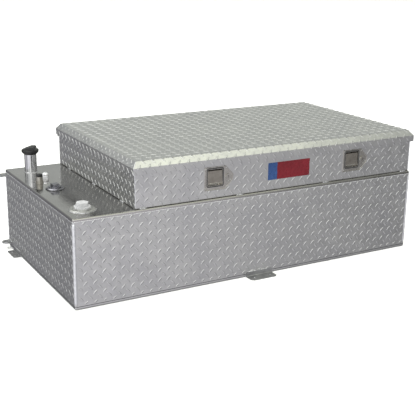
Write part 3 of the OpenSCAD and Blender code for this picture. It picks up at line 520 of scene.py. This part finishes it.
def round_path(half_x, half_y, radius, z, step=2.5):
    """A closed path round a rectangle with quarter-circle corners, as points about `step` apart and
    the direction that faces out at each: (cos t, sin t) on a corner, X or Y on a side."""
    points, outs = [], []
    for k, (sx, sy) in enumerate(((1, 1), (-1, 1), (-1, -1), (1, -1))):
        ring = outward((k + np.linspace(0, 1, 6)) * np.pi / 2)
        centre = np.array([sx * (half_x - radius), sy * (half_y - radius), z])
        points.append(centre + radius * ring)
        outs.append(ring)
        ahead = (-X, -Y, X, Y)[k]
        long = 2 * ((half_x, half_y)[k % 2] - radius)
        s = np.arange(step, long - step / 2, step)[:, None]
        points.append(points[-1][-1] + s * ahead)
        outs.append(np.broadcast_to(ring[-1], (len(s), 3)))
    return np.concatenate(points), np.concatenate(outs)


def seam_bead(z, wide, high, inset):
    """The machine weld round the tank where a pan meets the wall: an ellipse `wide` by `high`
    carried round, its centre `inset` inside the wall. Its drops are drawn 9 mm apart, coarser than
    the real 3 mm, so that they show."""
    path, out = round_path((TANK_HIGH[0] - TANK_LOW[0]) / 2, (TANK_HIGH[1] - TANK_LOW[1]) / 2,
                           FOLD, z)
    s = np.concatenate([[0], np.cumsum(np.linalg.norm(np.diff(path, axis=0), axis=1))])
    return tube(path - inset * out, drops(s, 9.0, 0.1), wide * out, -high * Z, closed=True,
                sides=8)


piece("tank_top_bead", seam_bead(TANK_HIGH[2] - 0.4, wide=3.2, high=2.9, inset=2.4), ground_weld,
      "tank")
# The foot bead is coloured dark: painted shade for the shadow line along the tank's bottom edge.
piece("tank_foot_bead", seam_bead(TANK_LOW[2] - 0.1, wide=1.3, high=1.3, inset=0.5), weld_rim_shade,
      "tank")


def ground_edge(start, end, radius=1.1, sides=10):
    """A corner weld ground round: an even tube along the edge with blunt ends. Its sections crowd
    towards the ends, s = (1 - cos a) / 2."""
    start, end = np.asarray(start), np.asarray(end)
    ahead = (end - start) / np.linalg.norm(end - start)
    side = np.cross(ahead, X if abs(ahead[0]) < 0.9 else Y)
    side /= np.linalg.norm(side)
    s = 0.5 - 0.5 * np.cos(np.linspace(0, np.pi, 24))
    return tube(start + s[:, None] * (end - start), radius * blunt(s, 40, 0.1), side,
                np.cross(ahead, side), sides=sides)


# Ground welds down the corners of the tank, over the lid's mitres and lips, and up the toolbox:
# how far the tank's stand out of the fold, and how far inside their corners the others lie
CORNER_PROUD = 1.1
LID_WELD_IN = 0.7
POST_IN = 0.8
corners = [ground_edge((x, y, TANK_LOW[2] + 1.5), (x, y, TANK_HIGH[2] - 1.0),
                       FOLD + CORNER_PROUD, sides=24)
           for x in (TANK_LOW[0] + FOLD, TANK_HIGH[0] - FOLD)
           for y in (TANK_LOW[1] + FOLD, TANK_HIGH[1] - FOLD)]
mitres = []
for side in ("front", "right", "rear", "left"):
    corner, along, _ = side_of(LID_LOW, LID_HIGH, side)
    inward = along + np.cross(Z, along)
    foot = corner + LID_WELD_IN * inward
    fold = foot + lip_high * Z
    mitres.append(ground_edge(fold, fold + BEVEL_IN * inward + (BEVEL_DOWN - LID_WELD_IN) * Z))
    mitres.append(ground_edge(foot, fold))
posts = [ground_edge((x, y, TOP + 5.0), (x, y, BOX_HIGH[2] - 6.0), 2.0)
         for x in (BOX_LOW[0] + POST_IN, BOX_HIGH[0] - POST_IN)
         for y in (POST_IN - BOX_Y, BOX_Y - POST_IN)]
piece("tank_corner_welds", join(corners), ground_weld, "tank")
piece("lid_corner_welds", join(mitres), ground_weld, "lid")
piece("box_corner_welds", join(posts), ground_weld, "tank")


def fitting_bead(part, radius):
    """The weld round a round fitting on the tank's top."""
    low, high = span(part)
    centre = (low + high) / 2 * (X + Y) + (TOP + 0.4) * Z
    return ring_bead(centre, (high[0] - low[0]) / 2 + 0.3, radius)


piece("fitting_beads", join([fitting_bead("filler_neck", 2.6), fitting_bead("pump_flange", 1.7)]),
      weld_bead, "tank")
# The gauge's bead is coloured dark: painted shade for the shadow line under the gauge's flange.
piece("gauge_bead", fitting_bead("gauge_bung", 1.5), weld_rim_shade, "tank")


# Vinyl patch that dips and rises over the lugs it covers

def lug_height(u, v, pitch, first):
    """Height of the lug pattern at (u, v), from 0 to 1: for the nearest lug of each lean, with p
    along it and q across it, f = 1 - (p / a)^2 - (q / b)^2, and then f (2 - f)."""
    best = np.zeros_like(u)
    for shift, lean in ((0.0, 1.0), (0.5, -1.0)):
        du = (u - first[0]) / pitch[0] - shift
        dv = (v - first[1]) / pitch[1] - shift
        du = (du - np.round(du)) * pitch[0]
        dv = (dv - np.round(dv)) * pitch[1]
        p = (du + lean * dv) / math.sqrt(2)
        q = (dv - lean * du) / math.sqrt(2)
        fill = np.clip(1 - (p / (LUG_LONG + 1)) ** 2 - (q / (LUG_HALF + 1)) ** 2, 0, 1)
        best = np.maximum(best, fill * (2 - fill))
    return best


def patch_sheet(left, low, right, high, thick=0.25, step=1.3):
    """A rectangle of vinyl as a closed skin: front y = -(wall + thick + lug height), back on the
    plate, with the rims of the two joined all round."""
    nu, nv = int((right - left) / step), int((high - low) / step)
    x, z = np.meshgrid(np.linspace(left, right, nu), np.linspace(low, high, nv))
    rise = LUG_HIGH * lug_height(x - BOX_LOW[0], z - BOX_BASE, BOX_PITCH, BOX_FIRST)
    front = np.stack([x, -(BOX_Y + thick + rise), z], axis=-1).reshape(-1, 3)
    back = np.stack([x, np.full_like(x, -BOX_Y + 0.2), z], axis=-1).reshape(-1, 3)
    j, i = np.meshgrid(np.arange(nv - 1), np.arange(nu - 1), indexing="ij")
    a = (j * nu + i).ravel()
    quads = np.stack([a, a + 1, a + nu + 1, a + nu], axis=1)
    total = nu * nv
    rim = np.concatenate([np.arange(nu), np.arange(2, nv + 1) * nu - 1,
                          np.arange(total - 2, total - nu - 1, -1), np.arange(nv - 2, 0, -1) * nu])
    after = np.roll(rim, -1)
    edge = np.stack([rim, rim + total, after + total, after], axis=1)
    return np.concatenate([front, back]), [quads, quads[:, ::-1] + total, edge]


BLUE_EDGE = PATCH_LOW[0] + 42.0
piece("red_patch", patch_sheet(BLUE_EDGE, PATCH_LOW[1], *PATCH_HIGH), red_vinyl, "tank")
piece("blue_patch", patch_sheet(*PATCH_LOW, BLUE_EDGE, PATCH_HIGH[1]), blue_vinyl, "tank")


# Rivets and rolled edges: (r, z) profile of a rivet's head
DOME = [(2.9, -0.3), (2.9, 0.2), (2.6, 0.8), (1.8, 1.3), (0.9, 1.5), (0.3, 1.55)]


def rivets(spots, out, sides):
    """Rivet heads that stand on an upright face, with local Z facing out."""
    side = np.cross(Z, out)
    axes = np.stack([side, np.cross(out, side), out])
    return repeat(spin(DOME, sides), np.array(spots), np.broadcast_to(axes, (len(spots), 3, 3)))


def loop_ridge(outline, y, wide, high):
    """A rolled rib along a closed outline in XZ: a half-round section, wide by high, on the side
    that faces -Y."""
    ahead = np.roll(outline, -1, axis=0) - outline
    ahead /= np.linalg.norm(ahead, axis=1)[:, None]
    turn = ahead + np.roll(ahead, 1, axis=0)
    turn /= np.linalg.norm(turn, axis=1)[:, None]
    inward = np.stack([-turn[:, 1], 0 * turn[:, 0], turn[:, 0]], axis=1) * (wide / 2)
    path = np.stack([outline[:, 0], np.full(len(outline), y), outline[:, 1]], axis=1) + inward
    return tube(path, 1.0, inward, -Y * high, closed=True, sides=12)


def rounded(corners, radius, steps=6):
    """Corners of a polygon, each replaced by a curve between points one radius before and after:
    (1 - t)^2 A + 2 t (1 - t) C + t^2 B."""
    corners = np.asarray(corners)
    before = np.roll(corners, 1, axis=0) - corners
    after = np.roll(corners, -1, axis=0) - corners
    a = corners + radius * before / np.linalg.norm(before, axis=1)[:, None]
    b = corners + radius * after / np.linalg.norm(after, axis=1)[:, None]
    t = np.linspace(0, 1, steps)[None, :, None]
    curve = (1 - t) ** 2 * a[:, None] + 2 * t * (1 - t) * corners[:, None] + t ** 2 * b[:, None]
    return curve.reshape(-1, 2)


# Latch plate: its thickness, the length of its pointed end, and the tip's share of its height
PLATE_T = 1.5
POINT = 33.0
TIP = 0.2
# Square recess: half its side, and its centre from the plate's left edge and mid height
WELL_HALF = 33.0
WELL_X = 45.0
WELL_UP = 4.0
# Rivets: distance from the plate's edges at the square end, then at the pointed end
RIVET_IN = 7.0
POINT_RIVET = (2.0, 8.0)
LATCH_FACE = -BOX_Y - PLATE_T

for side, (low, high) in LATCHES.items():
    left, right, bottom, top = low[0], high[0], low[2], high[2]
    mid, tip = (bottom + top) / 2, TIP * (top - bottom) / 2
    outline = [(left, bottom), (right - POINT, bottom), (right, mid - tip), (right, mid + tip),
               (right - POINT, top), (left, top)]
    piece("latch_edge_" + side, loop_ridge(rounded(outline, 7), LATCH_FACE, 3.0, 1.1), stainless,
          "tank")

    well = [(left + WELL_X + a * WELL_HALF, mid + WELL_UP + b * WELL_HALF)
            for a, b in ((-1, -1), (1, -1), (1, 1), (-1, 1))]
    # A black rubber rib round the recess, painted shade: it draws the dark shadow gap round the
    # paddle.
    piece("latch_shadow_line_" + side, loop_ridge(rounded(well, 5)[::-1], LATCH_FACE, 4.0, 0.6),
          seal_rubber, "tank")

    spots = [(left + RIVET_IN, LATCH_FACE, bottom + RIVET_IN),
             (left + RIVET_IN, LATCH_FACE, top - RIVET_IN),
             (right - POINT + POINT_RIVET[0], LATCH_FACE, bottom + POINT_RIVET[1]),
             (right - POINT + POINT_RIVET[0], LATCH_FACE, top - POINT_RIVET[1])]
    piece("latch_rivets_" + side, rivets(spots, -Y, 16), plated_steel, "tank")

    lock_low, lock_high = span("latch_lock_" + side)
    lock_mid, lock_r = (lock_low + lock_high) / 2, (lock_high[0] - lock_low[0]) / 2
    upright = outward(around(40))[:, [0, 2, 1]]
    rim = lock_mid * (X + Z) + LATCH_FACE * Y + (lock_r + 1.0) * upright
    piece("lock_rim_" + side, tube(rim, 1.0, upright, Y, closed=True), plated_steel, "tank")

    paddle_low, paddle_high = span("latch_paddle_" + side)
    lip = straight_bead(paddle_low + (0.6, 0.6, 1.0), X, paddle_high[0] - paddle_low[0] - 1.2, 1.7)
    piece("paddle_lip_" + side, lip, stainless, "paddle_" + side)

# Rivets through the hinge leaf at the back
leaf_low, leaf_high = span("hinge_leaf_box")
spots = [(x, BOX_Y + 1.6, leaf_low[2] + 11.0)
         for x in np.linspace(leaf_low[0] + 25.0, leaf_high[0] - 25.0, 17)]
piece("hinge_rivets", rivets(spots, Y, 12), plated_steel, "tank")

# Filler cap: its radius at the grip, its height, and the part of that height which the ribs cover
CAP_R = 35.0
CAP_HIGH = 22.0
RIBS_FROM, RIBS_OVER = 0.3, 0.46


def cap_ribs(count=28):
    """Upright half-round ribs round the cap's widest band: rib n at angle 2 pi n / count."""
    low, high = span("filler_cap")
    out = outward(around(count))
    s = np.linspace(0, 1, 7)
    rib = tube(CAP_HIGH * (RIBS_FROM + RIBS_OVER * s)[:, None] * Z, 1.1 * blunt(s, 4, 0.05), X, Y,
               sides=8)
    axes = np.stack([out, np.cross(Z, out), np.broadcast_to(Z, out.shape)], axis=1)
    base = (low + high) / 2 * (X + Y) + low * Z
    return repeat(rib, base + (CAP_R - 0.8) * out, axes)


piece("cap_ribs", cap_ribs(), black_plastic, "filler_cap")


# Studio, in metres

def stage_piece(name, shape):
    """Floor or backdrop that the metal doesn't mirror."""
    made = mesh_object(name, shape, floor_paint, unit=1)
    made.visible_glossy = False
    return made


def area(name, place, aim, size, watts, tint="#ffffff"):
    """A soft panel light that faces its aim point."""
    lamp = bpy.data.lights.new(name, "AREA")
    lamp.shape = "RECTANGLE"
    lamp.size, lamp.size_y = size
    lamp.energy = watts
    lamp.color = linear(tint)[:3]
    made = bpy.data.objects.new(name, lamp)
    look = np.subtract(aim, place)
    look /= np.linalg.norm(look)
    side = np.cross(look, Z)
    side = side / np.linalg.norm(side) if side.any() else X
    turn = Matrix(np.stack([side, np.cross(side, look), -look], axis=1).tolist()).to_4x4()
    made.matrix_world = Matrix.Translation(place) @ turn
    bpy.context.scene.collection.objects.link(made)
    return made


# A round floor, and a backdrop that curves up from it as a quarter circle:
# r = 30 + 10 sin a, z = 10 (1 - cos a)
FLOOR_R = 40.0
COVE_R = 10.0
stage_piece("floor", spin([(FLOOR_R, -0.01), (FLOOR_R, -0.0005)], 64))
bend = np.linspace(0, np.pi / 2, 12)
cove = np.stack([FLOOR_R - COVE_R + COVE_R * np.sin(bend), COVE_R - COVE_R * np.cos(bend)], axis=1)
points, faces = spin(cove.tolist() + [(FLOOR_R, 34.0)], 64)
backdrop = stage_piece("backdrop", (points, [faces[0][:, ::-1]]))
backdrop.visible_shadow = False
backdrop.visible_diffuse = False

# The room that the metal mirrors: brightness from straight down to straight up, times brightness
# from the side that the vector points away from to the side that it points at
BANDS = [(0.0, "#a0a0a1"), (0.355, "#aeaeb0"), (0.5, "#bcbcbe"), (0.62, "#c8ccc9"),
         (0.72, "#d6d9d3"), (0.875, "#fafeed"), (1.0, "#fafafa")]
SWEEP = [(0.0, "#848484"), (0.08, "#999999"), (0.25, "#828284"), (0.4, "#727277"),
         (0.49, "#6a6a65"), (0.57, "#a2a2a1"), (0.64, "#e2e0e3"), (0.7, "#d8d6d9"),
         (0.78, "#bababc"), (0.88, "#a6a6a8"), (0.95, "#fafafc"), (1.0, "#ffffff")]
FRONT_LEFT = (-0.75, -0.66, 0.0)
ROOM_STRENGTH = 3.2

world = bpy.data.worlds.new("studio")
bpy.context.scene.world = world
world.use_nodes = True
sky = world.node_tree
sky.nodes.clear()
direction = add(sky, "ShaderNodeTexCoord").outputs["Generated"]
height = add(sky, "ShaderNodeSeparateXYZ", {"Vector": direction}).outputs["Z"]
facing = add(sky, "ShaderNodeVectorMath", {0: direction, 1: FRONT_LEFT}, operation="DOT_PRODUCT")
shades = []
for value, stops in ((height, BANDS), (facing.outputs["Value"], SWEEP)):
    level = add(sky, "ShaderNodeMapRange", {"Value": value, "From Min": -1.0, "From Max": 1.0})
    graded = add(sky, "ShaderNodeValToRGB", {"Fac": level.outputs["Result"]})
    elements = graded.color_ramp.elements
    elements[0].position, elements[0].color = stops[0][0], linear(stops[0][1])
    elements[1].position, elements[1].color = stops[-1][0], linear(stops[-1][1])
    for spot, shade in stops[1:-1]:
        elements.new(spot).color = linear(shade)
    shades.append(graded.outputs["Color"])
both = add(sky, "ShaderNodeVectorMath", dict(enumerate(shades)), operation="MULTIPLY")
room = add(sky, "ShaderNodeBackground", {
    "Color": both.outputs["Vector"], "Strength": ROOM_STRENGTH})
add(sky, "ShaderNodeOutputWorld", {"Surface": room.outputs["Background"]})

area("key", (-1.6, -2.8, 1.5), (-0.6, -0.4, 0.2), (1.6, 1.2), 9, "#fffefa")
area("softbox_front", (0.8, -1.75, 2.9), (0.2, -0.4, 0.5), (2.8, 1.1), 11, "#fbffea")
area("softbox_over", (-1.5, 0.9, 2.3), (-0.3, 0.0, 0.4), (1.8, 1.6), 12)
# A wide bank of lamps over the floor, screened from the metal's reflections
bank = area("floor_bank", (0.0, 0.0, 14.0), (0.0, 0.0, 0.0), (44.0, 44.0), 6700)
bank.visible_glossy = False

# The camera that was fitted to the photograph: its focal length and width in pixels, its place,
# and the directions of right, down and ahead in its picture
FOCAL_PX = 856.6
PHOTO_PX = 415
SENSOR = 36
CAMERA_PLACE = (-1.7412, -3.0581, 1.2371)
RIGHT, DOWN, AHEAD = np.array([
    (0.8716, -0.4901, 0.0131), (-0.1309, -0.2584, -0.9571), (0.4725, 0.8325, -0.2894)])
camera_data = bpy.data.cameras.new("camera")
camera_data.sensor_width = SENSOR
camera_data.lens = SENSOR * FOCAL_PX / PHOTO_PX
camera_data.clip_end = 200
camera = bpy.data.objects.new("camera", camera_data)
turn = Matrix(np.stack([RIGHT, -DOWN, -AHEAD], axis=1).tolist()).to_4x4()
camera.matrix_world = Matrix.Translation(CAMERA_PLACE) @ turn
bpy.context.scene.collection.objects.link(camera)
bpy.context.scene.camera = camera
bpy.context.scene.view_settings.view_transform = "Standard"
